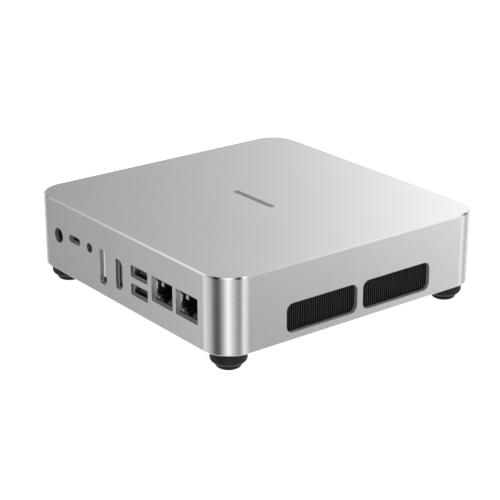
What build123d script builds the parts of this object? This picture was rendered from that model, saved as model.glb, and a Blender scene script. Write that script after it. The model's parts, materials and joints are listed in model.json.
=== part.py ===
from build123d import *
import os

# A square aluminium mini pc on four rubber feet.
# Frame: +X right seen from the front, -Y front, +Y rear socket panel, +Z up.
# Origin: middle of the footprint, on the surface that the feet stand on. Millimetres.

# ---- case
BODY_W = 155.0
BODY_D = 153.0
BODY_H = 36.05
CORNER_R = 14.0
TOP_BEVEL = 0.75
LOW_BEVEL = 0.4
WALL = 2.0
FOOT_H = 9.35

# ---- levels
CASE_Z = FOOT_H
CASE_TOP = CASE_Z + BODY_H
CEILING = CASE_TOP - WALL
COVER_T = 1.8
COVER_Z = CASE_Z + 0.5
COVER_TOP = COVER_Z + COVER_T
BOARD_T = 1.6
BOARD_Z = CASE_Z + 23.65
BOARD_TOP = BOARD_Z + BOARD_T

# ---- places
SIDE = BODY_W / 2
REAR = BODY_D / 2
FOOT_INSET = 11.8
FOOT_X = SIDE - FOOT_INSET
FOOT_Y = REAR - FOOT_INSET
FOOT_POINTS = {
    "foot_rear_left": (-FOOT_X, FOOT_Y),
    "foot_rear_right": (FOOT_X, FOOT_Y),
    "foot_front_left": (-FOOT_X, -FOOT_Y),
    "foot_front_right": (FOOT_X, -FOOT_Y),
}
COVER_POSTS = [(68, 50), (-68, 50), (-68, -50), (68, -50)]
BOARD_POSTS = [(60, 38), (-60, 46), (-60, -58), (60, -58)]
BRACKET_POINTS = [(0, 50), (0, -50)]
BRACKET_R = 1.65
BRACKET_BOSS_H = 5.0

# ---- side vents, as (y from, y to) of each window
VENT_WINDOWS = [(1.2, 41.9), (-43.1, -2.1)]
VENT_LOW = CASE_Z + 3.6
VENT_HIGH = CASE_Z + 17.6
VENT_R = 3.5

# ---- sockets: all hang from the board, faces just inside the panels
SHEET = 0.3
FIT = 0.15
RECESS = 1.7
SOCKET_TOP = CASE_Z + 22.95
USB_A_W = 13.4
USB_A_H = 5.7
USB_C_W = 9.8
USB_C_H = 3.7
USB_C_Z = CASE_Z + 20.45
DC_X = 54.5
DC_Z = CASE_Z + 18.65
DC_R = 3.65
USB_C_REAR_X = 40.0
AUDIO_X = 26.9
AUDIO_Z = CASE_Z + 20.5
AUDIO_R = 2.35
AUDIO_BORE_R = 1.8
TALL_X = 15.3
TALL_W = 5.65
TALL_H = 17.1
TRAP_X = 1.85
TRAP_W = 5.4
TRAP_H = 14.65
TRAP_TOP = CASE_Z + 22.2
STACK_X = -14.6
STACK_STEP = 8.75
LAN_X = [-32.6, -51.35]
LAN_W = 16.2
LAN_H = 12.05
LAN_DEPTH = 21.3
PLUG_W = 11.9
FRONT_USB_A_X = [-54.0, -35.0]
FRONT_USB_C_X = -18.0

# ---- power button on the front
BUTTON_X = 54.0
BUTTON_Z = CASE_Z + 18.25
BUTTON_R = 4.9
RING_IN = 5.1
RING_OUT = 6.0
BUTTON_TRAVEL = 0.6
STEM_W = 2.4
STEM_UP = 3.2

# ---- cooling
FIN_PITCH = 1.25
FIN_T = 0.3
FIN_COUNT = 71
FIN_LENGTH = FIN_PITCH * (FIN_COUNT - 1) + FIN_T
FIN_MID_Y = -0.6
FIN_X0 = -SIDE + WALL + 0.2
FIN_DEPTH = 17.0
FIN_Z0 = CASE_Z + 3.35
FIN_TOP = CASE_Z + 17.95
FAN_X = -14.0
FAN_Y = 0.0
FAN_R = 33.0
HUB_R = 14.0
AXLE_R = 1.5
BLOWER_Z0 = CASE_Z + 3.65
BLOWER_TOP = CASE_Z + 17.65
BLOWER_SKIN = 1.0
SCROLL_R = 36.5
BLADES = 29
CHIP_X = 12.0
CHIP_T = 1.5
COLD_PLATE_T = 1.7
PIPE_W = 7.0
PIPE_T = 2.5

os.makedirs("parts", exist_ok=True)


def save(builder, name):
    """Label one finished piece and write it as its own node."""
    builder.part.label = name
    export_step(builder.part, f"parts/{name}.step")


def rear_plane(depth):
    """Plane parallel to the rear panel: x is +X, y is up, and it extrudes into the case."""
    return Plane(origin=(0, REAR - depth, 0), x_dir=(1, 0, 0), z_dir=(0, -1, 0))


def front_plane(depth):
    """The same behind the front panel, where x is -X."""
    return Plane(origin=(0, depth - REAR, 0), x_dir=(-1, 0, 0), z_dir=(0, 1, 0))


def left_plane(depth):
    """Plane parallel to the left side: x is +Y, y is up, and it extrudes into the case."""
    return Plane(origin=(depth - SIDE, 0, 0), x_dir=(0, 1, 0), z_dir=(1, 0, 0))


def tall_outline(grow=0.0):
    """Tall video socket: an upright rectangle with one corner cut."""
    x0 = TALL_X - TALL_W / 2
    x1 = TALL_X + TALL_W / 2
    z0 = SOCKET_TOP - TALL_H
    cut = 1.9
    Polygon((x0, SOCKET_TOP), (x0, z0 + cut), (x0 + cut, z0), (x1, z0), (x1, SOCKET_TOP), align=None)
    if grow:
        offset(amount=grow, kind=Kind.INTERSECTION)


def trapezoid_outline(grow=0.0):
    """Second video socket: an upright rectangle narrowed on one long side."""
    x0 = TRAP_X - TRAP_W / 2
    x1 = TRAP_X + TRAP_W / 2
    z0 = TRAP_TOP - TRAP_H
    cut = 2.0
    Polygon(
        (x0, TRAP_TOP - cut), (x0, z0 + cut), (x0 + cut, z0),
        (x1, z0), (x1, TRAP_TOP), (x0 + cut, TRAP_TOP), align=None,
    )
    if grow:
        offset(amount=grow, kind=Kind.INTERSECTION)


def usb_a_openings(x, levels, shrink=0.0):
    """One rounded rectangle per level of a USB-A socket."""
    with Locations(*[(x, z) for z in levels]):
        RectangleRounded(USB_A_W - 2 * shrink, USB_A_H - 2 * shrink, 0.9 - shrink)


USB_A_Z = SOCKET_TOP - USB_A_H / 2
STACK_LEVELS = [USB_A_Z, USB_A_Z - STACK_STEP]
LAN_Z = SOCKET_TOP - LAN_H / 2


# ==== top shell: roof and walls in one piece, with its posts and openings
with BuildPart() as top_shell:
    with BuildSketch(Plane.XY.offset(CASE_Z)):
        RectangleRounded(BODY_W, BODY_D, CORNER_R)
    extrude(amount=BODY_H)
    chamfer(top_shell.faces().sort_by(Axis.Z)[-1].edges(), TOP_BEVEL)
    chamfer(top_shell.faces().sort_by(Axis.Z)[0].edges(), LOW_BEVEL)
    with BuildSketch(Plane.XY.offset(CASE_Z)):
        RectangleRounded(BODY_W - 2 * WALL, BODY_D - 2 * WALL, CORNER_R - WALL)
    extrude(amount=BODY_H - WALL, mode=Mode.SUBTRACT)

    # posts for the board and for the bottom cover hang from the roof
    with BuildSketch(Plane.XY.offset(BOARD_TOP)):
        with Locations(*BOARD_POSTS):
            Circle(2.6)
    extrude(amount=CEILING - BOARD_TOP)
    with BuildSketch(Plane.XY.offset(COVER_TOP)):
        with Locations(*COVER_POSTS):
            Circle(3.2)
    extrude(amount=CEILING - COVER_TOP)
    with BuildSketch(Plane.XY.offset(BOARD_TOP)):
        with Locations(*BOARD_POSTS):
            Circle(1.05)
    extrude(amount=6, mode=Mode.SUBTRACT)
    with BuildSketch(Plane.XY.offset(COVER_TOP)):
        with Locations(*COVER_POSTS):
            Circle(1.25)
    extrude(amount=8, mode=Mode.SUBTRACT)

    # vent windows through both sides
    with BuildSketch(left_plane(-1)):
        for y0, y1 in VENT_WINDOWS:
            with Locations(((y0 + y1) / 2, (VENT_LOW + VENT_HIGH) / 2)):
                RectangleRounded(y1 - y0, VENT_HIGH - VENT_LOW, VENT_R)
    extrude(amount=BODY_W + 2, mode=Mode.SUBTRACT)

    # rear panel
    with BuildSketch(rear_plane(-1)):
        with Locations((DC_X, DC_Z)):
            Circle(DC_R)
        with Locations((USB_C_REAR_X, USB_C_Z)):
            RectangleRounded(USB_C_W, USB_C_H, USB_C_H / 2 - 0.01)
        with Locations((AUDIO_X, AUDIO_Z)):
            Circle(AUDIO_R)
        tall_outline()
        trapezoid_outline()
        usb_a_openings(STACK_X, STACK_LEVELS)
        with Locations(*[(x, LAN_Z) for x in LAN_X]):
            RectangleRounded(LAN_W, LAN_H, 0.4)
    extrude(amount=WALL + 2, mode=Mode.SUBTRACT)

    # front panel
    with BuildSketch(front_plane(-1)):
        for x in FRONT_USB_A_X:
            usb_a_openings(-x, [USB_A_Z])
        with Locations((-FRONT_USB_C_X, USB_C_Z)):
            RectangleRounded(USB_C_W, USB_C_H, USB_C_H / 2 - 0.01)
        with Locations((-BUTTON_X, BUTTON_Z)):
            Circle(RING_OUT)
    extrude(amount=WALL + 2, mode=Mode.SUBTRACT)

    # shallow pocket for the badge
    with BuildSketch(Plane.XY.offset(CASE_TOP)):
        SlotOverall(30, 3.2)
    extrude(amount=-0.5, mode=Mode.SUBTRACT)
save(top_shell, "top_shell")


# ==== badge: a plain polished bar let into the roof
with BuildPart() as badge:
    with BuildSketch(Plane.XY.offset(CASE_TOP - 0.5)):
        SlotOverall(30, 3.2)
    extrude(amount=0.45)
save(badge, "badge")


# ==== bottom cover: black plate with air slots, screw seats and two threaded bosses
with BuildPart() as bottom_cover:
    with BuildSketch(Plane.XY.offset(COVER_Z)):
        RectangleRounded(BODY_W - 2 * WALL - 0.4, BODY_D - 2 * WALL - 0.4, CORNER_R - WALL - 0.2)
    extrude(amount=COVER_T)
    with BuildSketch(Plane.XY.offset(COVER_TOP)):
        with Locations(*BRACKET_POINTS):
            Circle(3.6)
    extrude(amount=BRACKET_BOSS_H - COVER_T)
    with BuildSketch(Plane.XY.offset(COVER_Z)):
        with Locations(*BRACKET_POINTS):
            Circle(BRACKET_R)
    extrude(amount=BRACKET_BOSS_H, mode=Mode.SUBTRACT)
    with BuildSketch(Plane.XY.offset(COVER_Z)):
        with Locations((FAN_X, FAN_Y)):
            with GridLocations(5, 17, 11, 3):
                SlotOverall(13, 2.4, rotation=90)
    extrude(amount=COVER_T, mode=Mode.SUBTRACT)
    with BuildSketch(Plane.XY.offset(COVER_Z)):
        with Locations(*FOOT_POINTS.values()):
            Circle(2.5)
    extrude(amount=COVER_T, mode=Mode.SUBTRACT)
    with BuildSketch(Plane.XY.offset(COVER_Z)):
        with Locations(*COVER_POSTS):
            Circle(1.5)
    extrude(amount=COVER_T, mode=Mode.SUBTRACT)
    with Locations(*[(x, y, COVER_Z) for x, y in COVER_POSTS]):
        Cone(2.9, 1.5, 1.4, align=(Align.CENTER, Align.CENTER, Align.MIN), mode=Mode.SUBTRACT)
save(bottom_cover, "bottom_cover")


# ==== bottom cover screws: flat heads with a hexagon socket
with BuildPart() as cover_screws:
    with Locations(*[(x, y, COVER_Z) for x, y in COVER_POSTS]):
        Cone(2.85, 1.2, 1.38, align=(Align.CENTER, Align.CENTER, Align.MIN))
        Cylinder(1.2, 7.5, align=(Align.CENTER, Align.CENTER, Align.MIN))
    with BuildSketch(Plane.XY.offset(COVER_Z)):
        with Locations(*COVER_POSTS):
            RegularPolygon(1.15, 6)
    extrude(amount=1.0, mode=Mode.SUBTRACT)
save(cover_screws, "cover_screws")


# ==== rubber feet: a thick upper tier and a narrower domed pad, on a stem through the cover
def foot(name, point):
    with BuildPart() as rubber:
        with BuildSketch(Plane(origin=(*point, 0), x_dir=(1, 0, 0), z_dir=(0, -1, 0))):
            with BuildLine():
                Polyline((0, 0), (4.9, 0))
                RadiusArc((4.9, 0), (6.0, 1.1), -1.5)
                Polyline((6.0, 1.1), (5.75, 1.25), (5.75, 1.45), (6.1, 1.6), (6.1, 1.8), (6.8, 1.8))
                RadiusArc((6.8, 1.8), (8.4, 4.4), -3.4)
                Polyline(
                    (8.4, 4.4), (8.4, COVER_Z), (2.5, COVER_Z), (2.5, COVER_TOP),
                    (3.1, COVER_TOP), (2.3, COVER_TOP + 1), (0, COVER_TOP + 1), (0, 0),
                )
            make_face()
        revolve(axis=Axis((*point, 0), (0, 0, 1)))
    save(rubber, name)


for foot_name, foot_point in FOOT_POINTS.items():
    foot(foot_name, foot_point)


# ==== USB-A sockets: a sheet-metal can with one snout per level, and black tongues inside
def usb_a_socket(name, plane, x, levels, length):
    low = min(levels) - USB_A_H / 2 - 0.5
    with BuildPart() as can:
        with BuildSketch(plane(WALL + 0.1)):
            with Locations((x, (low + BOARD_Z) / 2)):
                Rectangle(USB_A_W + 1.1, BOARD_Z - low)
        extrude(amount=length - WALL)
        with BuildSketch(plane(RECESS)):
            usb_a_openings(x, levels, FIT)
        extrude(amount=3)
        with BuildSketch(plane(RECESS)):
            usb_a_openings(x, levels, FIT + SHEET)
        extrude(amount=length - 2, mode=Mode.SUBTRACT)
    save(can, f"{name}_can")
    with BuildPart() as tongues:
        inner_h = USB_A_H - 2 * (FIT + SHEET)
        with BuildSketch(plane(RECESS + 1.6)):
            with Locations(*[(x, z - inner_h / 2 + 1.65) for z in levels]):
                Rectangle(11.0, 1.9)
        extrude(amount=length - 4)
        with BuildSketch(plane(RECESS + 11)):
            usb_a_openings(x, levels, FIT + SHEET)
        extrude(amount=1.5)
    save(tongues, f"{name}_tongue")


usb_a_socket("usb_a_rear", rear_plane, STACK_X, STACK_LEVELS, 17)
usb_a_socket("usb_a_front_outer", front_plane, -FRONT_USB_A_X[0], [USB_A_Z], 15)
usb_a_socket("usb_a_front_inner", front_plane, -FRONT_USB_A_X[1], [USB_A_Z], 15)


# ==== USB-C sockets: a flat rounded tube with a thin tongue
def usb_c_socket(name, plane, x):
    width = 8.9
    height = 3.2
    with BuildPart() as tube:
        with BuildSketch(plane(RECESS)):
            with Locations((x, USB_C_Z)):
                SlotOverall(width, height)
        extrude(amount=8.5)
        with BuildSketch(plane(WALL + 1)):
            with Locations((x, (USB_C_Z + BOARD_Z) / 2)):
                Rectangle(6, BOARD_Z - USB_C_Z)
        extrude(amount=6)
        with BuildSketch(plane(RECESS)):
            with Locations((x, USB_C_Z)):
                SlotOverall(width - 2 * SHEET, height - 2 * SHEET)
        extrude(amount=8, mode=Mode.SUBTRACT)
    save(tube, f"{name}_shell")
    with BuildPart() as tongue:
        with BuildSketch(plane(RECESS + 0.9)):
            with Locations((x, USB_C_Z)):
                RectangleRounded(6.7, 0.7, 0.3)
        extrude(amount=7.1)
        with BuildSketch(plane(RECESS + 6.5)):
            with Locations((x, USB_C_Z)):
                SlotOverall(width - 2 * SHEET, height - 2 * SHEET)
        extrude(amount=1.5)
    save(tongue, f"{name}_tongue")


usb_c_socket("usb_c_rear", rear_plane, USB_C_REAR_X)
usb_c_socket("usb_c_front", front_plane, -FRONT_USB_C_X)


# ==== power inlet: moulded body with a round socket, and its centre pin
with BuildPart() as dc_jack:
    with BuildSketch(rear_plane(WALL + 0.1)):
        with Locations((DC_X, (DC_Z + BOARD_Z - 4.6) / 2)):
            Rectangle(9.0, BOARD_Z - DC_Z + 4.6)
    extrude(amount=12)
    with BuildSketch(rear_plane(RECESS)):
        with Locations((DC_X, DC_Z)):
            Circle(DC_R - FIT)
    extrude(amount=4)
    with BuildSketch(rear_plane(RECESS)):
        with Locations((DC_X, DC_Z)):
            Circle(3.0)
    extrude(amount=11, mode=Mode.SUBTRACT)
save(dc_jack, "dc_jack")

with BuildPart() as dc_pin:
    with BuildSketch(rear_plane(RECESS + 1.2)):
        with Locations((DC_X, DC_Z)):
            Circle(1.0)
    extrude(amount=9.8)
    chamfer(dc_pin.faces().sort_by(Axis.Y)[-1].edges(), 0.3)
save(dc_pin, "dc_pin")


# ==== headset socket: a body with a round bore
with BuildPart() as audio_jack:
    with BuildSketch(rear_plane(WALL + 0.1)):
        with Locations((AUDIO_X, (AUDIO_Z + BOARD_Z - 2.7) / 2)):
            Rectangle(6.2, BOARD_Z - AUDIO_Z + 2.7)
    extrude(amount=12.4)
    with BuildSketch(rear_plane(RECESS)):
        with Locations((AUDIO_X, AUDIO_Z)):
            Circle(AUDIO_R - FIT)
    extrude(amount=3)
    with BuildSketch(rear_plane(RECESS)):
        with Locations((AUDIO_X, AUDIO_Z)):
            Circle(AUDIO_BORE_R)
    extrude(amount=13, mode=Mode.SUBTRACT)
save(audio_jack, "audio_jack")


# ==== two upright video sockets: a sheet-metal shell each, with a plastic tongue on a rear block
def video_socket(name, outline, x, z_mid, block_h, tongue_w, tongue_h, length):
    with BuildPart() as shell:
        with BuildSketch(rear_plane(RECESS)):
            outline(-FIT)
        extrude(amount=length)
        with BuildSketch(rear_plane(WALL + 1)):
            with Locations((x, (z_mid + BOARD_Z) / 2)):
                Rectangle(3.2, BOARD_Z - z_mid)
        extrude(amount=length - WALL - 1)
        with BuildSketch(rear_plane(RECESS)):
            outline(-FIT - SHEET)
        extrude(amount=length - SHEET, mode=Mode.SUBTRACT)
    save(shell, f"{name}_shell")
    with BuildPart() as tongue:
        with BuildSketch(rear_plane(RECESS + 1.8)):
            with Locations((x + 0.3, z_mid + (block_h - tongue_h) / 2)):
                Rectangle(tongue_w, tongue_h)
        extrude(amount=length - 2.6)
        with BuildSketch(rear_plane(RECESS + 8)):
            outline(-FIT - SHEET)
        extrude(amount=length - 8 - SHEET)
    save(tongue, f"{name}_tongue")


video_socket(
    "tall_video_socket", tall_outline, TALL_X, SOCKET_TOP - TALL_H / 2, TALL_H - 2.4, 1.9, 11.6, 14
)
video_socket(
    "flat_video_socket", trapezoid_outline, TRAP_X, TRAP_TOP - TRAP_H / 2, TRAP_H - 3, 1.7, 10.6, 12
)


# ==== network sockets: can, moulded insert with the plug cavity, contacts and lights
CAVITY_TOP = SOCKET_TOP - 1.7
CAVITY_LOW = CAVITY_TOP - 6.7
LATCH_LOW = SOCKET_TOP - LAN_H + 1.0
LAN_LOW = SOCKET_TOP - LAN_H + FIT


def lan_cavity(x):
    """Opening for the plug: a wide part with the latch slot in steps below it."""
    with Locations((x, (CAVITY_TOP + CAVITY_LOW) / 2)):
        Rectangle(PLUG_W, CAVITY_TOP - CAVITY_LOW)
    with Locations((x, (CAVITY_LOW + LATCH_LOW + 1.3) / 2)):
        Rectangle(6.4, CAVITY_LOW - LATCH_LOW - 1.3)
    with Locations((x, LATCH_LOW + 0.65)):
        Rectangle(3.6, 1.3)


def lan_socket(number, x):
    with BuildPart() as can:
        with BuildSketch(rear_plane(RECESS)):
            with Locations((x, LAN_Z)):
                RectangleRounded(LAN_W - 2 * FIT, LAN_H - 2 * FIT, 0.35)
        extrude(amount=LAN_DEPTH)
        with BuildSketch(rear_plane(WALL + 0.1)):
            with Locations((x, (LAN_LOW + BOARD_Z) / 2)):
                Rectangle(LAN_W - 2 * FIT, BOARD_Z - LAN_LOW)
        extrude(amount=LAN_DEPTH + RECESS - WALL - 0.1)
        with BuildSketch(rear_plane(RECESS)):
            with Locations((x, LAN_Z)):
                Rectangle(LAN_W - 2 * FIT - 2 * SHEET, LAN_H - 2 * FIT - 2 * SHEET)
        extrude(amount=LAN_DEPTH - SHEET, mode=Mode.SUBTRACT)
    save(can, f"lan_socket_{number}_can")
    light_x = LAN_W / 2 - FIT - SHEET - 1.75
    with BuildPart() as insert:
        with BuildSketch(rear_plane(RECESS + 0.3)):
            with Locations((x, LAN_Z)):
                Rectangle(LAN_W - 2 * FIT - 2 * SHEET, LAN_H - 2 * FIT - 2 * SHEET)
        extrude(amount=LAN_DEPTH - SHEET - 0.3)
        with BuildSketch(rear_plane(RECESS)):
            lan_cavity(x)
        extrude(amount=15, mode=Mode.SUBTRACT)
        with BuildSketch(rear_plane(RECESS)):
            with Locations((x - light_x, LAN_LOW + 1.85), (x + light_x, LAN_LOW + 1.85)):
                Rectangle(3.0, 2.2)
        extrude(amount=5, mode=Mode.SUBTRACT)
    save(insert, f"lan_socket_{number}_insert")


for number, lan_x in enumerate(LAN_X, start=1):
    lan_socket(number, lan_x)

with BuildPart() as lan_lights:
    for lan_x in LAN_X:
        light_offset = LAN_W / 2 - FIT - SHEET - 1.75
        with BuildSketch(rear_plane(RECESS + 0.3)):
            with Locations(
                (lan_x - light_offset, LAN_LOW + 1.85), (lan_x + light_offset, LAN_LOW + 1.85)
            ):
                Rectangle(2.9, 2.1)
        extrude(amount=4)
save(lan_lights, "lan_lights")

with BuildPart() as lan_contacts:
    for lan_x in LAN_X:
        with BuildSketch(rear_plane(RECESS + 3)):
            with Locations((lan_x, CAVITY_TOP - 0.45)):
                with GridLocations(1.27, 1, 8, 1):
                    Rectangle(0.45, 0.45)
        extrude(amount=11.5)
save(lan_contacts, "lan_contacts")


# ==== power button: cap with a flange and an off-centre stem, its light ring, bracket and switch
with BuildPart() as power_button:
    with BuildSketch(front_plane(0.15)):
        with Locations((-BUTTON_X, BUTTON_Z)):
            Circle(BUTTON_R)
    extrude(amount=3.0)
    fillet(power_button.faces().sort_by(Axis.Y)[0].edges(), 0.3)
    with BuildSketch(front_plane(WALL + 0.3)):
        with Locations((-BUTTON_X, BUTTON_Z)):
            Circle(BUTTON_R + 0.8)
    extrude(amount=0.9)
    with BuildSketch(front_plane(WALL + 0.5)):
        with Locations((-BUTTON_X, BUTTON_Z + STEM_UP)):
            Rectangle(STEM_W, STEM_W)
    extrude(amount=6.3)
save(power_button, "power_button")

with BuildPart() as power_light_ring:
    with BuildSketch(front_plane(0.1)):
        with Locations((-BUTTON_X, BUTTON_Z)):
            Circle(RING_OUT)
            Circle(RING_IN, mode=Mode.SUBTRACT)
    extrude(amount=WALL - 0.1)
save(power_light_ring, "power_light_ring")

with BuildPart() as button_bracket:
    with BuildSketch(Plane.XY.offset(BUTTON_Z - 7)):
        with Locations((BUTTON_X, WALL - REAR + 2.5)):
            Rectangle(18, 5)
            Rectangle(15, 8, mode=Mode.SUBTRACT)
        with Locations((BUTTON_X, WALL - REAR + 4.4)):
            Rectangle(18, 1.2)
    extrude(amount=12.3)
    with BuildSketch(front_plane(WALL + 3)):
        with Locations((-BUTTON_X, BUTTON_Z + STEM_UP)):
            Rectangle(STEM_W + 0.5, STEM_W + 0.5)
    extrude(amount=4, mode=Mode.SUBTRACT)
save(button_bracket, "button_bracket")

SWITCH_DEPTH = WALL + 0.5 + 6.3 + BUTTON_TRAVEL + 0.1
with BuildPart() as power_switch:
    with BuildSketch(front_plane(SWITCH_DEPTH)):
        with Locations((-BUTTON_X, BUTTON_Z + STEM_UP)):
            Rectangle(1.8, 1.8)
    extrude(amount=1.2)
    with BuildSketch(front_plane(SWITCH_DEPTH + 1)):
        with Locations((-BUTTON_X, BOARD_Z - 1.9)):
            Rectangle(6, 3.8)
    extrude(amount=3.4)
save(power_switch, "power_switch")


# ==== motherboard with its screws
with BuildPart() as motherboard:
    with BuildSketch(Plane.XY.offset(BOARD_Z)):
        Rectangle(127, 144)
        with Locations(*BOARD_POSTS):
            Circle(1.5, mode=Mode.SUBTRACT)
    extrude(amount=BOARD_T)
save(motherboard, "motherboard")

with BuildPart() as board_screws:
    with BuildSketch(Plane.XY.offset(BOARD_Z)):
        with Locations(*BOARD_POSTS):
            Circle(2.4)
    extrude(amount=-1.4)
    with BuildSketch(Plane.XY.offset(BOARD_Z)):
        with Locations(*BOARD_POSTS):
            Circle(1.0)
    extrude(amount=BOARD_T + 5)
save(board_screws, "board_screws")


# ==== cooling, hung below the board: chip, cold plate, heat pipes, fins and blower
CHIP_Z = BOARD_Z - CHIP_T
with BuildPart() as processor:
    with BuildSketch(Plane.XY.offset(BOARD_Z)):
        with Locations((CHIP_X, 0)):
            Rectangle(35, 25)
    extrude(amount=-0.8)
    with BuildSketch(Plane.XY.offset(BOARD_Z - 0.8)):
        with Locations((CHIP_X, 0)):
            Rectangle(14, 11)
    extrude(amount=0.8 - CHIP_T)
save(processor, "processor")

with BuildPart() as cold_plate:
    with BuildSketch(Plane.XY.offset(CHIP_Z)):
        with Locations((CHIP_X, 0)):
            RectangleRounded(46, 40, 3)
    extrude(amount=-COLD_PLATE_T)
save(cold_plate, "cold_plate")

PIPE_Z = FIN_TOP + PIPE_T / 2


def heat_pipe(name, side):
    """A flattened pipe from the cold plate to the fins, turned along the stack."""
    run_y = side * 9
    fin_x = FIN_X0 + FIN_DEPTH / 2
    with BuildPart() as pipe:
        with BuildLine(Plane.XY.offset(PIPE_Z)) as route:
            FilletPolyline((CHIP_X + 20, run_y), (fin_x, run_y), (fin_x, side * 40), radius=12)
        with BuildSketch(Plane(origin=route.line @ 0, x_dir=(0, 1, 0), z_dir=(-1, 0, 0))):
            SlotOverall(PIPE_W, PIPE_T)
        sweep()
    save(pipe, name)


heat_pipe("heat_pipe_rear", 1)
heat_pipe("heat_pipe_front", -1)

with BuildPart() as fin_stack:
    fin_plane = left_plane(FIN_X0 + SIDE)
    with BuildSketch(fin_plane):
        with Locations((FIN_MID_Y, (FIN_Z0 + FIN_TOP) / 2)):
            Rectangle(FIN_LENGTH, FIN_TOP - FIN_Z0)
            with GridLocations(FIN_PITCH, 1, FIN_COUNT - 1, 1):
                Rectangle(FIN_PITCH - FIN_T, FIN_TOP - FIN_Z0 - 2 * FIN_T, mode=Mode.SUBTRACT)
    extrude(amount=FIN_DEPTH)
save(fin_stack, "fin_stack")

BLOWER_MOUTH_X = FIN_X0 + FIN_DEPTH + 0.2


def scroll_outline(grow):
    """Blower outline: round about the fan, widening to the full length of the fins."""
    mouth = 0.5
    with Locations((FAN_X, FAN_Y)):
        Circle(SCROLL_R + grow)
    with Locations((BLOWER_MOUTH_X + mouth / 2, FIN_MID_Y)):
        Rectangle(mouth, FIN_LENGTH - 2 + 2 * grow)
    make_hull()


with BuildPart() as blower_housing:
    with BuildSketch(Plane.XY.offset(BLOWER_Z0 + BLOWER_SKIN)):
        scroll_outline(1.0)
    extrude(amount=BLOWER_TOP - BLOWER_Z0 - BLOWER_SKIN)
    with BuildSketch(Plane.XY.offset(BLOWER_Z0 + BLOWER_SKIN)):
        scroll_outline(0.0)
        with Locations((BLOWER_MOUTH_X, FIN_MID_Y)):
            Rectangle(2, FIN_LENGTH - 2)
    extrude(amount=BLOWER_TOP - BLOWER_Z0 - 2 * BLOWER_SKIN, mode=Mode.SUBTRACT)
save(blower_housing, "blower_housing")

with BuildPart() as blower_cover:
    with BuildSketch(Plane.XY.offset(BLOWER_Z0)):
        scroll_outline(1.0)
        with Locations((FAN_X, FAN_Y)):
            Circle(24, mode=Mode.SUBTRACT)
    extrude(amount=BLOWER_SKIN)
save(blower_cover, "blower_cover")

FAN_ROOF = BLOWER_TOP - BLOWER_SKIN
with BuildPart() as fan_axle:
    with BuildSketch(Plane.XY.offset(FAN_ROOF)):
        with Locations((FAN_X, FAN_Y)):
            Circle(6)
    extrude(amount=-1.5)
    with BuildSketch(Plane.XY.offset(FAN_ROOF)):
        with Locations((FAN_X, FAN_Y)):
            Circle(AXLE_R)
    extrude(amount=-9)
save(fan_axle, "fan_axle")

with BuildPart() as fan_rotor:
    with BuildSketch(Plane.XY.offset(BLOWER_Z0 + 2.2)):
        with Locations((FAN_X, FAN_Y)):
            Circle(HUB_R)
    extrude(amount=9.3)
    with BuildSketch(Plane.XY.offset(BLOWER_Z0 + 3.4)):
        with Locations((FAN_X, FAN_Y)):
            Circle(HUB_R - 1.2)
            Circle(4, mode=Mode.SUBTRACT)
    extrude(amount=9.3, mode=Mode.SUBTRACT)
    with BuildSketch(Plane.XY.offset(BLOWER_Z0 + 3.2)):
        blade_arc = ThreePointArc((HUB_R - 0.7, 0), (23, 1.6), (FAN_R - 1.5, 5.6), mode=Mode.PRIVATE)
        blade = SlotArc(blade_arc, 0.8, mode=Mode.PRIVATE)
        with Locations((FAN_X, FAN_Y)):
            with PolarLocations(0, BLADES):
                add(blade)
    extrude(amount=8.6)
    with BuildSketch(Plane.XY.offset(BLOWER_Z0 + 11.0)):
        with Locations((FAN_X, FAN_Y)):
            Circle(FAN_R + 0.9)
            Circle(FAN_R - 0.9, mode=Mode.SUBTRACT)
    extrude(amount=0.8)
    with BuildSketch(Plane.XY.offset(BLOWER_Z0 + 3.4)):
        with Locations((FAN_X, FAN_Y)):
            Circle(AXLE_R + 0.05)
    extrude(amount=12, mode=Mode.SUBTRACT)
save(fan_rotor, "fan_rotor")


# ==== pieces on the upper side of the board: memory, drive, radio card, clock battery
def memory(name, x, y):
    """A socket strip with a module lying flat in it."""
    with BuildPart() as socket:
        with BuildSketch(Plane.XY.offset(BOARD_TOP)):
            with Locations((x, y)):
                Rectangle(71, 6.4)
            with Locations((x - 34.75, y - 13), (x + 34.75, y - 13)):
                Rectangle(1.5, 24)
        extrude(amount=5.2)
        with BuildSketch(rear_plane(REAR - y + 1.2)):
            with Locations((x, BOARD_TOP + 3.6)):
                Rectangle(67.8, 1.3)
        extrude(amount=3, mode=Mode.SUBTRACT)
    save(socket, f"{name}_socket")
    with BuildPart() as module:
        with BuildSketch(Plane.XY.offset(BOARD_TOP + 3.0)):
            with Locations((x, y - 1.2 - 15)):
                Rectangle(67.6, 30)
        extrude(amount=1.2)
        with BuildSketch(Plane.XY.offset(BOARD_TOP + 4.2)):
            with Locations((x, y - 19)):
                with GridLocations(16, 1, 4, 1):
                    Rectangle(11, 13)
        extrude(amount=1.0)
    save(module, f"{name}_module")


memory("memory_rear", -5, 44)
memory("memory_front", -5, 4)


def card(name, x, y, length, parts_at):
    """A narrow card with its edge socket at the rear end and a few chips on top."""
    with BuildPart() as board:
        with BuildSketch(Plane.XY.offset(BOARD_TOP + 2.4)):
            with Locations((x, y)):
                Rectangle(22, length)
        extrude(amount=0.8)
        with BuildSketch(Plane.XY.offset(BOARD_TOP + 3.2)):
            with Locations(*[(x, y + at) for at in parts_at]):
                Rectangle(16, 13)
        extrude(amount=1.1)
    save(board, name)
    with BuildPart() as socket:
        with BuildSketch(Plane.XY.offset(BOARD_TOP)):
            with Locations((x, y + length / 2 + 2)):
                Rectangle(22, 6.4)
        extrude(amount=4.2)
        with BuildSketch(Plane.XY.offset(BOARD_TOP + 2.4)):
            with Locations((x, y + length / 2 - 1)):
                Rectangle(22, 2.01)
        extrude(amount=0.8, mode=Mode.SUBTRACT)
    save(socket, f"{name}_socket")


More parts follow.
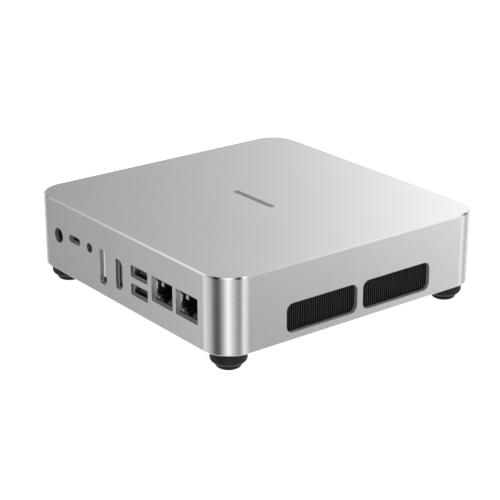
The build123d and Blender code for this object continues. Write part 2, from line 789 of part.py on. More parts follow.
card("solid_state_drive", 43, -5, 80, [26, 6, -16])
card("radio_card", -30, -56, 30, [0])

with BuildPart() as coin_cell_holder:
    with BuildSketch(Plane.XY.offset(BOARD_TOP)):
        with Locations((12, -54)):
            Circle(11.4)
    extrude(amount=3)
    with BuildSketch(Plane.XY.offset(BOARD_TOP + 0.6)):
        with Locations((12, -54)):
            Circle(10.1)
    extrude(amount=3, mode=Mode.SUBTRACT)
save(coin_cell_holder, "coin_cell_holder")

with BuildPart() as coin_cell:
    with BuildSketch(Plane.XY.offset(BOARD_TOP + 0.6)):
        with Locations((12, -54)):
            Circle(10)
    extrude(amount=3.2)
    fillet(coin_cell.edges().filter_by(GeomType.CIRCLE).sort_by(Axis.Z)[-1], 0.5)
save(coin_cell, "coin_cell")

with BuildPart() as power_coils:
    with BuildSketch(Plane.XY.offset(BOARD_Z)):
        with Locations((47, 0)):
            with GridLocations(1, 9, 1, 4):
                Rectangle(7, 7)
    extrude(amount=-4)
save(power_coils, "power_coils")


# ==== antennas: a small plate on the inside of the front and of the right wall
def antenna(name, plane, at):
    with BuildPart() as plate:
        with BuildSketch(plane(WALL)):
            with Locations((at, CEILING - 4.2)):
                Rectangle(34, 7)
        extrude(amount=0.6)
    save(plate, name)


antenna("antenna_front", front_plane, 20)
antenna("antenna_rear", rear_plane, 20)


# ==== grille behind the right-hand windows
with BuildPart() as side_grille:
    grille_mid = (VENT_LOW + VENT_HIGH) / 2
    grille_plane = left_plane(BODY_W - WALL - 1.2)
    with BuildSketch(grille_plane):
        with Locations((FIN_MID_Y, grille_mid)):
            Rectangle(90, VENT_HIGH - VENT_LOW + 1.2)
            with GridLocations(FIN_PITCH * 2, 1, 34, 1):
                SlotOverall(VENT_HIGH - VENT_LOW, 1.5, rotation=90, mode=Mode.SUBTRACT)
    extrude(amount=1.1)
save(side_grille, "side_grille")
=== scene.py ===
import bmesh
import bpy
import json
import math
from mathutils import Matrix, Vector


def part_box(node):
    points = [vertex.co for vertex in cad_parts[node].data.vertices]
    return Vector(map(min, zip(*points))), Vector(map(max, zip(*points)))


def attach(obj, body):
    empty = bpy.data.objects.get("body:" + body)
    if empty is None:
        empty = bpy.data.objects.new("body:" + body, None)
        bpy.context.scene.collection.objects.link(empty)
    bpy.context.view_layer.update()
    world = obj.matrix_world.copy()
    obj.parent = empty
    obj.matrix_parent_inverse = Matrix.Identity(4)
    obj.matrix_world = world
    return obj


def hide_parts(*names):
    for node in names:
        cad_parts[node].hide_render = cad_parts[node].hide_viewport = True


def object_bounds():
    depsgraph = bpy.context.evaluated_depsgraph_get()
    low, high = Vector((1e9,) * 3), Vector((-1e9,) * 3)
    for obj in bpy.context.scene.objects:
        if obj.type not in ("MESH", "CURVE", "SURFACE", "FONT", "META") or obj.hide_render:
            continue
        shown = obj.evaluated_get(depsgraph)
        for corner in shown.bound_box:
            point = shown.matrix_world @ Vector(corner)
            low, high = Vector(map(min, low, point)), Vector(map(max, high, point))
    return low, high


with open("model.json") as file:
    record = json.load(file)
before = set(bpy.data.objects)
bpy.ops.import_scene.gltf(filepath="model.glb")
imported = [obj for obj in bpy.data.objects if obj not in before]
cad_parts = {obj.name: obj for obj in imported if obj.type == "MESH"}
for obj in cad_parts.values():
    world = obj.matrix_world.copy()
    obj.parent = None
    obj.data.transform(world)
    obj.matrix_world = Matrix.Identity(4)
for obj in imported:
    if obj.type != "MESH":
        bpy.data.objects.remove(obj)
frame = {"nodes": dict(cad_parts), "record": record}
cad_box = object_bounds()
LOW, HIGH = cad_box
MM = 0.001

for plain in list(bpy.data.materials):
    bpy.data.materials.remove(plain)


# ======== shader tools

class Flow:
    """One output of a finish's nodes. Arithmetic on it adds Math nodes."""

    def __init__(self, finish, socket):
        self.finish = finish
        self.socket = socket

    def math(self, operation, first, second):
        return self.finish.node("ShaderNodeMath", {"operation": operation}, {0: first, 1: second})

    def __add__(self, other):
        return self.math("ADD", self, other)

    def __sub__(self, other):
        return self.math("SUBTRACT", self, other)

    def __mul__(self, other):
        return self.math("MULTIPLY", self, other)

    def __gt__(self, other):
        return self.math("GREATER_THAN", self, other)

    def __lt__(self, other):
        return self.math("LESS_THAN", self, other)


class Finish:
    """A material being made: its nodes, and the Principled shader that they end in."""

    def __init__(self, name):
        self.material = bpy.data.materials.new(name)
        self.material.use_nodes = True
        self.tree = self.material.node_tree
        self.surface = self.tree.nodes["Principled BSDF"]
        self.place = self.node("ShaderNodeTexCoord", {}, {}, "Object")

    def feed(self, socket, value):
        if isinstance(value, Flow):
            self.tree.links.new(value.socket, socket)
        else:
            socket.default_value = value

    def node(self, kind, settings, sockets, output=0):
        made = self.tree.nodes.new(kind)
        for key, value in settings.items():
            setattr(made, key, value)
        for key, value in sockets.items():
            self.feed(made.inputs[key], value)
        return Flow(self, made.outputs[output])

    def axis(self, letter):
        """How far along X, Y or Z of the object, in metres."""
        return self.node("ShaderNodeSeparateXYZ", {}, {0: self.place}, letter)

    def noise(self, scale, detail=2.0, rough=0.5, at=None):
        """Cloudy values round 0.5; scale is in cells to the metre."""
        sockets = {"Vector": at or self.place, "Scale": scale, "Detail": detail, "Roughness": rough}
        return self.node("ShaderNodeTexNoise", {}, sockets)

    def stretched(self, x, y, z):
        """The object's own coordinates, squeezed by a factor along each axis."""
        return self.node(
            "ShaderNodeVectorMath", {"operation": "MULTIPLY"}, {0: self.place, 1: (x, y, z)}
        )

    def span(self, value, from_low, from_high, to_low, to_high):
        """A value taken from one range to another, and held inside it."""
        sockets = {0: value, 1: from_low, 2: from_high, 3: to_low, 4: to_high}
        return self.node("ShaderNodeMapRange", {}, sockets)

    def between(self, value, low, high):
        """1 where the value lies between two limits, 0 elsewhere."""
        return (value > low) * (value < high)

    def blend(self, share, first, second):
        """Two colours, mixed by a share."""
        return self.node(
            "ShaderNodeMix", {"data_type": "RGBA"}, {0: share, 6: first, 7: second}, 2
        )

    def relief(self, height, depth, strength):
        """A bump of the surface, depth in metres."""
        sockets = {"Strength": strength, "Distance": depth, "Height": height}
        self.feed(self.surface.inputs["Normal"], self.node("ShaderNodeBump", {}, sockets))

    def set(self, **values):
        """Values for the Principled shader's sockets, named with underscores."""
        for key, value in values.items():
            self.feed(self.surface.inputs[key.replace("_", " ")], value)
        return self.material


def tint(red, green, blue):
    return (red, green, blue, 1.0)


def grey(value):
    return tint(value, value, value)


# ======== finishes

BEVEL_DEPTH = 0.74 * MM
SKIN = 0.04 * MM         # how far behind an outer face the milled walls begin
VENT_REACH = 45 * MM     # furthest the windows reach from the middle of a side
SOCKET_REACH = 60 * MM   # furthest the cut-outs reach from the middle of a panel
FIN_EDGE_WEAR_AND_HIGHLIGHT = 0.12 * MM     # strip along each fin's outer edge, painted lighter: partly wear of the coating, partly a painted highlight


def blasted_aluminium():
    """Bead-blasted silver anodising, with a bright cut bevel and rougher milled cut-out walls."""
    f = Finish("blasted_aluminium")
    x, y, height = f.axis("X"), f.axis("Y"), f.axis("Z")
    bevel = f.between(height, HIGH.z - BEVEL_DEPTH, HIGH.z - 0.02 * MM)
    fins_low, fins_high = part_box("fin_stack")
    in_vents = f.between(height, fins_low.z, fins_high.z)
    in_vents = in_vents * f.between(y, -VENT_REACH, VENT_REACH)
    in_vents = in_vents * f.between(x, LOW.x + SKIN, HIGH.x - SKIN)
    in_sockets = f.between(y, LOW.y + SKIN, HIGH.y - SKIN)
    in_sockets = in_sockets * f.between(x, -SOCKET_REACH, SOCKET_REACH)
    in_sockets = in_sockets * f.between(height, fins_low.z, HIGH.z - 10 * MM)
    bead = f.noise(5200, 1.0)
    cloud = f.noise(22, 3.0)
    rubbed = f.noise(140, 4.0, 0.6)
    rough = f.span(bead, 0.35, 0.65, -0.012, 0.012) + f.span(cloud, 0.3, 0.7, 0.277, 0.285)
    rough = rough + f.span(rubbed, 0.4, 0.7, -0.001, 0.001)
    rough = rough - bevel * 0.16 + in_vents * 0.36 + in_sockets * 0.12
    colour = f.blend(f.span(cloud, 0.35, 0.65, 0.0, 1.0), grey(0.785), grey(0.795))
    colour = f.blend(bevel, colour, grey(0.92))
    f.relief(bead, 0.004 * MM, 0.1)
    return f.set(Base_Color=colour, Roughness=rough, Metallic=1.0)


def polished_aluminium():
    """Mirror-polished bar in a smoked finish, one tone all over."""
    f = Finish("polished_aluminium")
    swirl = f.noise(90, 5.0, 0.6)
    line = f.noise(900, 2.0, 0.5, f.stretched(0.05, 1, 1))
    f.relief(line, 0.001 * MM, 0.3)
    return f.set(
        Base_Color=f.blend(swirl, grey(0.27), grey(0.31)),
        Roughness=f.span(line, 0.3, 0.7, 0.08, 0.14), Metallic=1.0,
    )


def moulded(name, dark, light, rough, grain=2600):
    """Moulded plastic with a spark-eroded grain."""
    f = Finish(name)
    pits = f.noise(grain, 2.0, 0.6)
    cloud = f.noise(60, 3.0)
    f.relief(pits, 0.006 * MM, 0.6)
    return f.set(
        Base_Color=f.blend(f.span(cloud, 0.3, 0.7, 0, 1), dark, light),
        Roughness=f.span(pits, 0.3, 0.7, rough - 0.07, rough + 0.07),
    )


def black_cover():
    """Fine matt powder coat with a faint sparkle."""
    f = Finish("black_cover")
    orange_peel = f.noise(1500, 2.0, 0.55)
    speck = f.noise(5200, 1.0)
    f.relief(orange_peel, 0.02 * MM, 0.5)
    return f.set(
        Base_Color=f.blend(f.span(speck, 0.55, 0.7, 0, 1), grey(0.018), grey(0.05)),
        Roughness=f.span(orange_peel, 0.3, 0.7, 0.48, 0.62),
    )


def foot_rubber():
    f = Finish("foot_rubber")
    bloom = f.noise(260, 4.0, 0.65)
    pits = f.noise(3800, 2.0, 0.6)
    worn = f.span(f.axis("Z"), 0.0, 1.2 * MM, 1.0, 0.0)
    f.relief(pits, 0.008 * MM, 0.5)
    colour = f.blend(f.span(bloom, 0.4, 0.75, 0, 1), grey(0.007), grey(0.012))
    return f.set(
        Base_Color=f.blend(worn * 0.5, colour, grey(0.012)),
        Roughness=f.span(bloom, 0.3, 0.7, 0.40, 0.52) + worn * 0.15, Specular_IOR_Level=0.25,
    )


def brushed(name, colour, rough, along=(1, 1, 0.04)):
    """Drawn or rolled metal: fine streaks along one axis."""
    f = Finish(name)
    streak = f.noise(2400, 2.0, 0.5, f.stretched(*along))
    stain = f.noise(300, 3.0)
    f.relief(streak, 0.002 * MM, 0.4)
    lighter = tint(*[min(1.0, c * 1.12) for c in colour])
    darker = tint(*[c * 0.86 for c in colour])
    return f.set(
        Base_Color=f.blend(f.span(stain, 0.3, 0.7, 0, 1), darker, lighter),
        Roughness=f.span(streak, 0.3, 0.7, rough - 0.06, rough + 0.07), Metallic=1.0,
    )


def lan_light():
    """Light windows of the network sockets: lit green on one side, clear and unlit on the other."""
    f = Finish("green_light")
    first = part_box("lan_socket_1_can")
    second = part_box("lan_socket_2_can")
    x = f.axis("X")
    green = f.between(x, (first[0].x + first[1].x) / 2, first[1].x)
    green = green + f.between(x, (second[0].x + second[1].x) / 2, second[1].x)
    frost = f.noise(1500, 2.0)
    colour = f.blend(green, tint(0.10, 0.10, 0.09), tint(0.16, 0.30, 0.03))
    f.relief(frost, 0.01 * MM, 0.3)
    return f.set(
        Base_Color=colour, Roughness=f.span(frost, 0.3, 0.7, 0.18, 0.32),
        Emission_Color=f.blend(green, grey(0.0), tint(0.08, 0.15, 0.015)), Emission_Strength=0.4,
    )


def button_metal():
    """Spun finish: rings round the middle of the power button."""
    f = Finish("button_aluminium")
    low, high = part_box("power_button")
    middle = ((low.x + high.x) / 2, 0, (low.z + high.z) / 2)
    from_middle = f.node("ShaderNodeVectorMath", {"operation": "SUBTRACT"}, {0: f.place, 1: middle})
    flat = f.node("ShaderNodeVectorMath", {"operation": "MULTIPLY"}, {0: from_middle, 1: (1, 0, 1)})
    radius = f.node("ShaderNodeVectorMath", {"operation": "LENGTH"}, {0: flat}, "Value")
    rings = f.node("ShaderNodeTexNoise", {"noise_dimensions": "1D"}, {"W": radius, "Scale": 9000.0})
    f.relief(rings, 0.003 * MM, 0.5)
    return f.set(
        Base_Color=f.blend(rings, grey(0.58), grey(0.68)),
        Roughness=f.span(rings, 0.3, 0.7, 0.24, 0.36), Metallic=1.0,
    )


def light_ring():
    f = Finish("light_ring")
    milk = f.noise(900, 2.0)
    f.relief(milk, 0.004 * MM, 0.3)
    return f.set(
        Base_Color=f.blend(milk, grey(0.62), grey(0.75)),
        Roughness=f.span(milk, 0.3, 0.7, 0.2, 0.3),
    )


def circuit_board():
    """Dark solder mask with faint copper tracks and pads under it."""
    f = Finish("circuit_board")
    track = f.node(
        "ShaderNodeTexBrick", {"offset": 0.37, "squash": 0.6, "squash_frequency": 3},
        {"Vector": f.place, "Scale": 90.0, "Mortar Size": 0.012, "Mortar Smooth": 0.0,
         "Brick Width": 0.6, "Row Height": 0.07},
        "Fac",
    )
    via = f.node("ShaderNodeTexVoronoi", {}, {"Vector": f.place, "Scale": 420.0}, "Distance") < 0.12
    mask = f.blend(track, tint(0.006, 0.022, 0.016), tint(0.014, 0.05, 0.034))
    f.relief(track, 0.03 * MM, 0.5)
    return f.set(
        Base_Color=f.blend(via, mask, tint(0.35, 0.26, 0.10)),
        Roughness=f.span(track, 0.0, 1.0, 0.38, 0.3), Metallic=via * 0.8,
    )


def fin_black():
    """Black coated fins, painted lighter on their outer edges: partly wear of the coating, partly a
    painted highlight.
    """
    f = Finish("fin_black")
    streak = f.noise(1600, 2.0, 0.5, f.stretched(1, 1, 0.08))
    dust = f.noise(240, 4.0, 0.7)
    x = f.axis("X")
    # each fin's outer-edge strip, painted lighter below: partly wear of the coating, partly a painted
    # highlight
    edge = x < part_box("fin_stack")[0].x + FIN_EDGE_WEAR_AND_HIGHLIGHT
    edge = edge + (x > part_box("side_grille")[1].x - FIN_EDGE_WEAR_AND_HIGHLIGHT)
    f.relief(streak, 0.004 * MM, 0.4)
    colour = f.blend(f.span(dust, 0.5, 0.8, 0, 1), grey(0.008), grey(0.014))
    return f.set(
        # grey 0.04 on the edge strip: partly wear, partly a painted highlight
        Base_Color=f.blend(edge, colour, grey(0.04)),
        Roughness=f.span(streak, 0.3, 0.7, 0.5, 0.66), Specular_IOR_Level=0.15,
    )


def copper():
    f = Finish("copper")
    tarnish = f.noise(120, 5.0, 0.65)
    streak = f.noise(2200, 2.0, 0.5, f.stretched(0.05, 1, 1))
    f.relief(streak, 0.002 * MM, 0.4)
    share = f.span(tarnish, 0.35, 0.7, 0, 1)
    return f.set(
        Base_Color=f.blend(share, tint(0.72, 0.36, 0.22), tint(0.42, 0.19, 0.11)),
        Roughness=f.span(tarnish, 0.3, 0.7, 0.24, 0.42), Metallic=1.0,
    )


FINISHES = {
    "blasted_aluminium": blasted_aluminium(),
    "polished_aluminium": polished_aluminium(),
    "black_cover": black_cover(),
    "foot_rubber": foot_rubber(),
    "black_screw_steel": brushed("black_screw_steel", (0.05, 0.05, 0.055), 0.38),
    "socket_steel": brushed("socket_steel", (0.56, 0.56, 0.57), 0.30, (1, 0.05, 1)),
    "socket_plastic": moulded("socket_plastic", grey(0.008), grey(0.014), 0.46),
    "grey_tongue": moulded("grey_tongue", grey(0.60), grey(0.68), 0.42),
    "pin_steel": brushed("pin_steel", (0.72, 0.72, 0.73), 0.22, (1, 0.05, 1)),
    "contact_gold": brushed("contact_gold", (0.90, 0.62, 0.24), 0.24, (1, 0.05, 1)),
    "green_light": lan_light(),
    "button_aluminium": button_metal(),
    "light_ring": light_ring(),
    "bracket_plastic": moulded("bracket_plastic", grey(0.03), grey(0.045), 0.5),
    "circuit_board": circuit_board(),
    "chip": moulded("chip", grey(0.025), grey(0.04), 0.42, 3600),
    "copper": copper(),
    "fin_black": fin_black(),
    "blower_plastic": moulded("blower_plastic", grey(0.012), grey(0.02), 0.4),
    "blower_cover_metal": brushed("blower_cover_metal", (0.42, 0.42, 0.43), 0.34, (1, 0.04, 1)),
    "cell_steel": brushed("cell_steel", (0.68, 0.68, 0.69), 0.24, (1, 0.1, 1)),
    "antenna_film": moulded("antenna_film", grey(0.06), grey(0.09), 0.34),
}


def dress_cad_nodes():
    """Give every CAD node the finish of its material slot in the record."""
    slots = {part["node"]: part["material_slot"] for part in frame["record"]["subparts"]}
    for node, part in frame["nodes"].items():
        part.data.materials.clear()
        part.data.materials.append(FINISHES[slots[node]])


# ======== modelling tools

def clear():
    bpy.ops.object.select_all(action="DESELECT")


def faces_where(piece, test):
    """In edit mode, select the faces whose normal and middle pass a test."""
    bpy.ops.mesh.select_all(action="DESELECT")
    shape = bmesh.from_edit_mesh(piece.data)
    for face in shape.faces:
        if test(face.normal, face.calc_center_median()):
            face.select_set(True)
    bmesh.update_edit_mesh(piece.data)


def turned(centre, along, rings, sides=48):
    """A round piece, drawn out ring by ring from a disc; rings are (radius, distance along)."""
    clear()
    radius, start = rings[0]
    bpy.ops.mesh.primitive_circle_add(
        vertices=sides, radius=radius, fill_type="NGON", location=centre + along * start,
        rotation=along.to_track_quat("Z", "Y").to_euler(),
    )
    piece = bpy.context.object
    bpy.ops.object.mode_set(mode="EDIT")
    bpy.ops.mesh.select_all(action="SELECT")
    for (radius, start), (next_radius, end) in zip(rings, rings[1:]):
        bpy.ops.mesh.extrude_region_move(TRANSFORM_OT_translate={"value": along * (end - start)})
        bpy.ops.transform.resize(
            value=[next_radius / radius] * 3, center_override=centre + along * end
        )
    bpy.ops.object.mode_set(mode="OBJECT")
    return piece


def block(low, high, bevel=0.0, segments=2):
    """A block between two corners, with its edges rounded; it stays open to more work."""
    clear()
    middle = (low + high) / 2
    bpy.ops.mesh.primitive_cube_add(size=1, location=middle)
    piece = bpy.context.object
    bpy.ops.object.mode_set(mode="EDIT")
    bpy.ops.transform.resize(value=high - low, center_override=middle)
    bpy.ops.object.mode_set(mode="OBJECT")
    bpy.ops.object.transform_apply(location=True, rotation=True, scale=True)
    if bevel:
        bpy.ops.object.mode_set(mode="EDIT")
        bpy.ops.mesh.select_all(action="SELECT")
        bpy.ops.mesh.bevel(offset=bevel, segments=segments, affect="EDGES", clamp_overlap=True)
        bpy.ops.object.mode_set(mode="OBJECT")
    return piece


def drawn(start, size, moves):
    """A strip: a small upright rectangle drawn along a chain of moves."""
    clear()
    bpy.ops.mesh.primitive_plane_add(size=1, location=start, rotation=(math.pi / 2, 0, 0))
    piece = bpy.context.object
    bpy.ops.object.mode_set(mode="EDIT")
    bpy.ops.mesh.select_all(action="SELECT")
    bpy.ops.transform.resize(value=(size[0], 1, size[1]), center_override=start)
    for move in moves:
        bpy.ops.mesh.extrude_region_move(TRANSFORM_OT_translate={"value": Vector(move)})
    bpy.ops.object.mode_set(mode="OBJECT")
    return piece


def pushed(piece, test, steps):
    """Inset the faces that pass a test and push them along, once per (inset, push) step."""
    clear()
    piece.select_set(True)
    bpy.context.view_layer.objects.active = piece
    bpy.ops.object.mode_set(mode="EDIT")
    faces_where(piece, test)
    for inset, push in steps:
        if inset:
            bpy.ops.mesh.inset(thickness=inset, depth=0)
        if any(push):
            bpy.ops.mesh.extrude_region_move(TRANSFORM_OT_translate={"value": Vector(push)})
    bpy.ops.object.mode_set(mode="OBJECT")
    return piece


def joined(first, *others):
    if not others:
        return first
    clear()
    for piece in (first, *others):
        piece.select_set(True)
    bpy.context.view_layer.objects.active = first
    bpy.ops.object.join()
    return first


def repeated(piece, shifts):
    """Copies of a piece, each with its own mesh, joined to it."""
    settle(piece)
    copies = []
    for shift in shifts:
        copy = piece.copy()
        copy.data = piece.data.copy()
        copy.location = shift
        bpy.context.scene.collection.objects.link(copy)
        copies.append(copy)
    return joined(piece, *copies)


def settle(piece):
    """Put the piece's place into its mesh."""
    clear()
    piece.select_set(True)
    bpy.context.view_layer.objects.active = piece
    bpy.ops.object.transform_apply(location=True, rotation=True, scale=True)


def finished(piece, name, slot, replaces=(), body="case", smooth=32):
    """Name, settle, smooth and dress a piece, and let it ride on its body."""
    settle(piece)
    bpy.ops.object.mode_set(mode="EDIT")
    bpy.ops.mesh.select_all(action="SELECT")
    bpy.ops.mesh.normals_make_consistent(inside=False)
    bpy.ops.object.mode_set(mode="OBJECT")
    bpy.ops.object.shade_smooth_by_angle(angle=math.radians(smooth))
    piece.name = name
    piece.data.name = name
    piece.data.materials.clear()
    piece.data.materials.append(FINISHES[slot])
    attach(piece, body)
    if replaces:
        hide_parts(*replaces)


def mm(x, y, z):
    return Vector((x, y, z)) * MM


REARWARD = Vector((0, 1, 0))
UPWARD = Vector((0, 0, 1))


# ======== rubber feet

# Radius and height of each ring, from the hollow under the foot up to its side
FOOT_RINGS = [
    (1.7, 1.3), (1.9, 0.25), (2.15, 0.0), (4.3, 0.0), (4.75, 0.1), (5.25, 0.38), (5.65, 0.78),
    (5.92, 1.2), (5.95, 1.7), (5.85, 1.82), (5.45, 1.88), (5.45, 2.08), (6.0, 2.14), (6.45, 2.3),
    (7.0, 2.68), (7.6, 3.2), (8.1, 3.8), (8.33, 4.25), (8.4, 4.7),
]
# Radius and depth below the top of the stem, where the foot passes through the cover
STEM_RINGS = [(8.4, 3.1), (8.25, 2.84), (2.45, 2.8), (2.45, 1.0), (3.05, 0.96), (2.3, 0.02)]


def feet():
    for side in ("front", "rear"):
        for hand in ("left", "right"):
            node = f"foot_{side}_{hand}"
            low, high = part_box(node)
            centre = Vector(((low.x + high.x) / 2, (low.y + high.y) / 2, 0))
            rings = [(radius * MM, height * MM) for radius, height in FOOT_RINGS]
            rings += [(radius * MM, high.z - depth * MM) for radius, depth in STEM_RINGS]
            finished(turned(centre, UPWARD, rings, 72), f"rubber_{node}", "foot_rubber", [node])


# ======== power button: a dished cap with a rim, its flange and stem

BUTTON_RINGS = [
    (0.5, 0.26), (1.6, 0.24), (2.7, 0.18), (3.6, 0.1), (4.2, 0.03), (4.4, 0.0), (4.62, 0.02),
    (4.8, 0.1), (4.9, 0.26), (4.9, 2.16), (5.55, 2.18), (5.68, 2.28), (5.68, 2.95), (5.5, 3.04),
]


def button():
    low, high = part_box("power_button")
    centre = Vector(((low.x + high.x) / 2, low.y, (low.z + high.z) / 2))
    cap = turned(centre, REARWARD, [(r * MM, d * MM) for r, d in BUTTON_RINGS], 96)
    stem_low = Vector((centre.x, low.y, centre.z)) + mm(-1.2, 2.6, 2.0)
    stem = block(stem_low, Vector((centre.x + 1.2 * MM, high.y, centre.z + 4.4 * MM)), 0.2 * MM)
    finished(joined(cap, stem), "power_button_cap", "button_aluminium", ["power_button"], "button")


# ======== network sockets

# In millimetres
LAN_WIRES = 8
LAN_PITCH = 1.27
LENS_HALF_WIDTH = 0.9
LENS_HALF_HEIGHT = 0.68
BEZEL_HALF_WIDTH = 1.44
BEZEL_HALF_HEIGHT = 1.04
# Tabs folded in from the screen's roof: inward from the socket's side, behind the mouth,
# width and height
LAN_TABS = ((1.5, 0.05, 1.0, 3.4), (4.3, 1.2, 1.9, 1.9))


def lan_socket_details():
    """Contact wires, screen springs and light windows of both network sockets."""
    wires, springs, windows, bezels = [], [], [], []
    for number in (1, 2):
        low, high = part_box(f"lan_socket_{number}_insert")
        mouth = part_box(f"lan_socket_{number}_can")[1].y
        x = (low.x + high.x) / 2
        middle_z = (low.z + high.z) / 2
        roof = high.z - 1.25 * MM
        first_x = x - LAN_PITCH * (LAN_WIRES - 1) / 2 * MM
        first = Vector((first_x, mouth - 1.6 * MM, roof - 0.55 * MM))
        wire = drawn(first, (0.46 * MM, 0.34 * MM), [
            mm(0, -0.25, 0.1), mm(0, -0.7, -0.22), mm(0, -4.6, -2.35), mm(0, -0.5, -0.1),
            mm(0, -0.5, 0.12), mm(0, -4.2, 1.1),
        ])
        wires.append(repeated(wire, [mm(LAN_PITCH * i, 0, 0) for i in range(1, LAN_WIRES)]))
        for side in (-1, 1):
            edge = x + side * (high.x - x)
            tab = drawn(
                Vector((edge - side * 0.85 * MM, mouth - 0.02 * MM, middle_z)),
                (0.5 * MM, 8.6 * MM), [mm(0, -0.28, 0)],
            )
            fold = drawn(
                Vector((edge - side * 0.14 * MM, mouth - 0.1 * MM, middle_z + 1.2 * MM)),
                (0.2 * MM, 6.0 * MM),
                [mm(-side * 0.22, -0.9, 0), mm(-side * 0.1, -0.8, 0), mm(side * 0.2, -1.0, 0)],
            )
            springs += [tab, fold]
            lens_x = x + side * (high.x - x - 1.9 * MM)
            lens_z = low.z + 1.4 * MM
            face = mouth - 0.32 * MM
            bezel = block(
                Vector((lens_x, face, lens_z)) + mm(-BEZEL_HALF_WIDTH, -3.9, -BEZEL_HALF_HEIGHT),
                Vector((lens_x, face, lens_z)) + mm(BEZEL_HALF_WIDTH, 0, BEZEL_HALF_HEIGHT),
            )
            bezels.append(pushed(
                bezel, lambda normal, middle: normal.y > 0.9,
                [(0.12 * MM, mm(0, 0.14, 0)), (0.2 * MM, mm(0, -0.5, 0))],
            ))
            windows.append(block(
                Vector((lens_x, face, lens_z)) + mm(-LENS_HALF_WIDTH, -2.4, -LENS_HALF_HEIGHT),
                Vector((lens_x, face, lens_z)) + mm(LENS_HALF_WIDTH, -0.1, LENS_HALF_HEIGHT),
                0.2 * MM, 3,
            ))
        for inward, back, wide, tall in LAN_TABS:
            springs.append(drawn(
                Vector((high.x - inward * MM, mouth - back * MM, roof - (0.9 + tall / 2) * MM)),
                (wide * MM, tall * MM), [mm(0, -0.25, 0.05), mm(0, -0.6, 0.4)],
            ))
    finished(joined(*wires), "lan_contact_wires", "contact_gold", ["lan_contacts"], smooth=50)
    finished(joined(*springs), "lan_screen_springs", "socket_steel")
    finished(joined(*bezels), "lan_light_bezels", "socket_plastic")
    finished(joined(*windows), "lan_light_windows", "green_light", ["lan_lights"])


# ======== USB sockets

USB_A_RISE = 8.75        # millimetres between the two rear sockets, one above the other
USB_C_PADS = 12
USB_C_PITCH = 0.5


def sorted_corners(a, b):
    """Lowest and highest corner of the box between two points."""
    return (
        Vector([min(pair) for pair in zip(a, b)]), Vector([max(pair) for pair in zip(a, b)])
    )


def usb_a_details():
    """Tongues with contacts and recesses, and spring fingers in the screens."""
    for node, outward in (
        ("usb_a_rear", 1), ("usb_a_front_outer", -1), ("usb_a_front_inner", -1)
    ):
        low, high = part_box(f"{node}_tongue")
        can_low, can_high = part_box(f"{node}_can")
        levels = 2 if node == "usb_a_rear" else 1
        x = (low.x + high.x) / 2
        tip = high.y if outward > 0 else low.y
        back = low.y if outward > 0 else high.y
        mouth = can_high.y if outward > 0 else can_low.y
        out = Vector((0, outward, 0))
        tongues, contacts, fingers = [], [], []
        for level in range(levels):
            floor_z = low.z + level * USB_A_RISE * MM
            a = Vector((x - 5.5 * MM, tip, floor_z + 0.7 * MM))
            b = Vector((x + 5.5 * MM, back + out.y * 1.6 * MM, floor_z + 2.6 * MM))
            tongue = block(*sorted_corners(a, b), 0.22 * MM)
            pushed(
                tongue, lambda normal, middle: normal.z < -0.9, [(0.9 * MM, mm(0, 0, 0.25))],
            )
            a = Vector((x - 6.2 * MM, back + out.y * 1.5 * MM, floor_z + 0.03 * MM))
            b = Vector((x + 6.2 * MM, back, floor_z + 4.77 * MM))
            tongues += [tongue, block(*sorted_corners(a, b), 0.1 * MM)]
            pad = block(*sorted_corners(
                Vector((x - 3.95 * MM, tip - out.y * 0.9 * MM, floor_z + 0.62 * MM)),
                Vector((x - 3.05 * MM, tip - out.y * 6.5 * MM, floor_z + 0.72 * MM)),
            ), 0.03 * MM)
            contacts.append(repeated(pad, [mm(shift, 0, 0) for shift in (2.5, 4.5, 7.0)]))
            step = -outward
            finger = drawn(
                Vector((x - 3.2 * MM, mouth - out.y * 0.4 * MM, floor_z + 4.72 * MM)),
                (2.2 * MM, 0.16 * MM),
                [mm(0, step * 1.1, -0.34), mm(0, step * 0.9, -0.12), mm(0, step * 2.6, 0.36)],
            )
            fingers.append(repeated(finger, [mm(6.4, 0, 0)]))
            for side in (-1, 1):
                fingers.append(drawn(
                    Vector((x + side * 6.12 * MM, mouth - out.y * 0.35 * MM, floor_z + 2.9 * MM)),
                    (0.16 * MM, 1.7 * MM),
                    [mm(-side * 0.3, step * 1.0, 0), mm(-side * 0.1, step * 0.8, 0),
                     mm(side * 0.32, step * 2.4, 0)],
                ))
        finished(joined(*tongues), f"{node}_moulding", "socket_plastic", [f"{node}_tongue"])
        finished(joined(*contacts), f"{node}_contacts", "contact_gold")
        finished(joined(*fingers), f"{node}_springs", "socket_steel", smooth=50)


def usb_c_details():
    for node, outward in (("usb_c_rear", 1), ("usb_c_front", -1)):
        low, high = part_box(f"{node}_tongue")
        x = (low.x + high.x) / 2
        z = (low.z + high.z) / 2
        tip = high.y if outward > 0 else low.y
        back = low.y if outward > 0 else high.y
        blade = block(*sorted_corners(
            Vector((x - 3.35 * MM, tip, z - 0.35 * MM)), Vector((x + 3.35 * MM, back, z + 0.35 * MM))
        ), 0.18 * MM, 3)
        root = block(*sorted_corners(
            Vector((x - 3.5 * MM, tip - outward * 3.4 * MM, z - 0.62 * MM)),
            Vector((x + 3.5 * MM, back, z + 0.62 * MM)),
        ), 0.15 * MM)
        seat = block(*sorted_corners(
            Vector((x - 4.0 * MM, back + outward * 1.5 * MM, z - 1.25 * MM)),
            Vector((x + 4.0 * MM, back, z + 1.25 * MM)),
        ), 0.5 * MM, 4)
        finished(joined(blade, root, seat), f"{node}_moulding", "socket_plastic", [f"{node}_tongue"])
        pads = []
        for face in (-1, 1):
            pad = block(*sorted_corners(
                Vector((x - 2.86 * MM, tip - outward * 0.6 * MM, z + face * 0.33 * MM)),
                Vector((x - 2.64 * MM, tip - outward * 3.3 * MM, z + face * 0.37 * MM)),
            ))
            pads.append(repeated(pad, [mm(USB_C_PITCH * i, 0, 0) for i in range(1, USB_C_PADS)]))
        finished(joined(*pads), f"{node}_contacts", "contact_gold")


# ======== upright video sockets

VIDEO_PADS = 10
VIDEO_PITCH = 1.0


